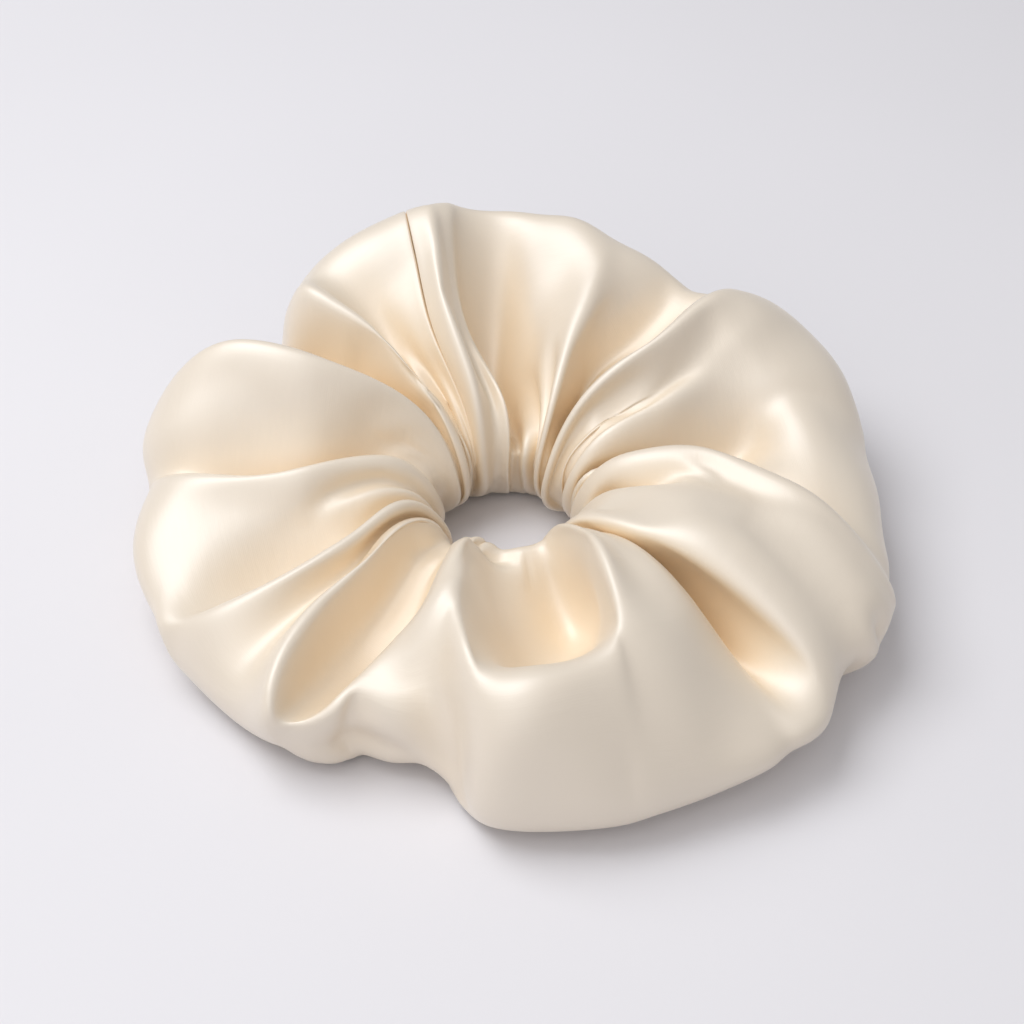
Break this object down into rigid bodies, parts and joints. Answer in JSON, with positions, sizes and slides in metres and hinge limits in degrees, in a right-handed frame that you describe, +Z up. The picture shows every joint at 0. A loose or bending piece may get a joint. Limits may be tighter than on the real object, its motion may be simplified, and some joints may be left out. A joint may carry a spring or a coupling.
{
  "type": "scrunchie",
  "caption": "Gathered satin hair scrunchie: a sewn fabric tube drawn into folds round a lapped elastic loop, with an open centre for a ponytail.",
  "frame": {"origin": "on the table, below the middle of the scrunchie's outline as seen from above; the elastic ring's axis stands 1.5 mm to -X and 0.7 mm to +Y of it", "axes": "+Z up, along the ring's axis; -Y is the side towards the viewer of the picture and +X its right"},
  "size_m": [0.1127, 0.1136, 0.036],
  "materials": {
    "ivory_satin": "smooth ivory satin with a soft sheen",
    "braided_elastic": "flat braided elastic, matt off-white",
    "polyester_thread": "spun polyester sewing thread, cream"
  },
  "bodies": {
    "sleeve": {"satin_sleeve": "ivory_satin", "long_seam_needle_thread": "polyester_thread", "long_seam_bobbin_thread": "polyester_thread", "hand_stitch_thread": "polyester_thread", "end_seam_needle_thread": "polyester_thread", "end_seam_bobbin_thread": "polyester_thread"},
    "elastic": {"elastic_band": "braided_elastic", "lap_needle_thread": "polyester_thread", "lap_bobbin_thread": "polyester_thread"}
  },
  "joints": [
    {"name": "elastic_turn", "type": "hinge", "parent": "sleeve", "child": "elastic", "pos_m": [-0.00145, 0.00067, 0.008], "axis": [0, 0, 1], "continuous": true}
  ]
}
